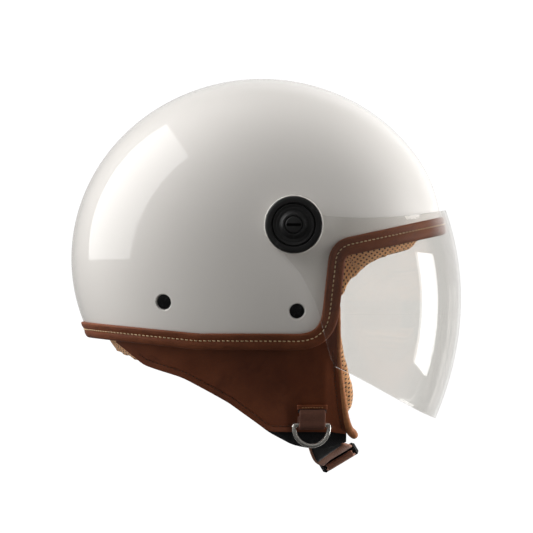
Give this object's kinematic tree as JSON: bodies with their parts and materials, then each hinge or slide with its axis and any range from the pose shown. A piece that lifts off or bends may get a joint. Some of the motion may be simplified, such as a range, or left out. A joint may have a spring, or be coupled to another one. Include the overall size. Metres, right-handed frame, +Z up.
{
  "type": "open face motorcycle helmet",
  "caption": "Open face riding helmet: glossy shell, leather edge trim and ear flaps, short clear visor that lifts on side pivots, padded liner, D-rings and a ratchet chin strap.",
  "frame": {"origin": "middle of the crown pad's flat underside, where the top of the wearer's head rests", "axes": "+Z up, -Y forward through the face opening, +X to the wearer's left"},
  "size_m": [0.2462, 0.2848, 0.2876],
  "materials": {
    "shell_paint": "glossy white lacquer over moulded plastic",
    "foam": "moulded beads of expanded polystyrene, dark grey",
    "trim_leather": "smooth brown leather with cream stitching",
    "flap_leather": "soft dark brown leather",
    "piping_leather": "tan rolled leather piping",
    "mesh_fabric": "tan perforated spacer mesh over soft foam",
    "black_fabric": "black woven lining",
    "webbing": "brown woven strap webbing",
    "black_plastic": "satin black moulded plastic",
    "visor_clear": "clear hard-coated polycarbonate",
    "steel": "nickel-plated steel"
  },
  "bodies": {
    "helmet": {"shell": "shell_paint", "impact_foam": "foam", "crown_pad": "mesh_fabric", "headband": "mesh_fabric", "brow_pad": "mesh_fabric", "nape_pad": "mesh_fabric", "edge_trim": "trim_leather", "chin_strap_right": "webbing", "chin_strap_left": "webbing", "buckle_housing": "black_plastic", "lever_pin": "steel", "lever_spring": "steel", "ear_flap_right": "flap_leather", "ear_flap_left": "flap_leather", "flap_lining_right": "black_fabric", "flap_lining_left": "black_fabric", "flap_piping_right": "piping_leather", "flap_piping_left": "piping_leather", "cheek_pad_right": "mesh_fabric", "cheek_pad_left": "mesh_fabric", "pivot_bush_right": "black_plastic", "pivot_bush_left": "black_plastic", "friction_washer_right": "black_plastic", "friction_washer_left": "black_plastic", "pivot_cover_right": "black_plastic", "pivot_cover_left": "black_plastic", "pivot_nut_right": "steel", "pivot_nut_left": "steel", "strap_rivet_front_right": "black_plastic", "strap_rivet_front_left": "black_plastic", "strap_rivet_rear_right": "black_plastic", "strap_rivet_rear_left": "black_plastic", "strap_hanger_front_right": "steel", "strap_hanger_front_left": "steel", "strap_hanger_rear_right": "steel", "strap_hanger_rear_left": "steel", "d_ring_tab_right": "flap_leather", "d_ring_tab_left": "flap_leather", "rear_strap_right": "webbing", "rear_strap_left": "webbing"},
    "visor": {"visor": "visor_clear"},
    "screw_right": {"pivot_screw_right": "black_plastic"},
    "screw_left": {"pivot_screw_left": "black_plastic"},
    "ring_right": {"d_ring_right": "steel"},
    "ring_left": {"d_ring_left": "steel"},
    "lever": {"buckle_lever": "black_plastic"},
    "tongue": {"ratchet_tongue": "black_plastic"}
  },
  "joints": [
    {"name": "visor_lift", "type": "hinge", "parent": "helmet", "child": "visor", "pos_m": [0, -0.0246, -0.0666], "axis": [-1, 0, 0], "range_deg": [0, 65]},
    {"name": "screw_turn_right", "type": "hinge", "parent": "helmet", "child": "screw_right", "pos_m": [-0.118, -0.0246, -0.0666], "axis": [-1, 0, 0], "range_deg": [0, 90]},
    {"name": "screw_turn_left", "type": "hinge", "parent": "helmet", "child": "screw_left", "pos_m": [0.118, -0.0246, -0.0666], "axis": [1, 0, 0], "range_deg": [0, 90]},
    {"name": "d_ring_swing_right", "type": "hinge", "parent": "helmet", "child": "ring_right", "pos_m": [-0.08024, -0.03753, -0.21206], "axis": [-0.2353, 0.9719, 0], "range_deg": [0, 95]},
    {"name": "d_ring_swing_left", "type": "hinge", "parent": "helmet", "child": "ring_left", "pos_m": [0.08024, -0.03753, -0.21206], "axis": [-0.2353, -0.9719, 0], "range_deg": [0, 95]},
    {"name": "lever_lift", "type": "hinge", "parent": "helmet", "child": "lever", "pos_m": [0.005, -0.05904, -0.23883], "axis": [0, -0.8572, 0.515], "range_deg": [0, 35], "stiffness_Nm_per_rad": 0.01, "springref_deg": -20.05},
    {"name": "tongue_slide", "type": "slide", "parent": "helmet", "child": "tongue", "axis": [1, 0, 0], "range_m": [-0.0075, 0.0075], "deforming": ["chin_strap_left"]}
  ]
}
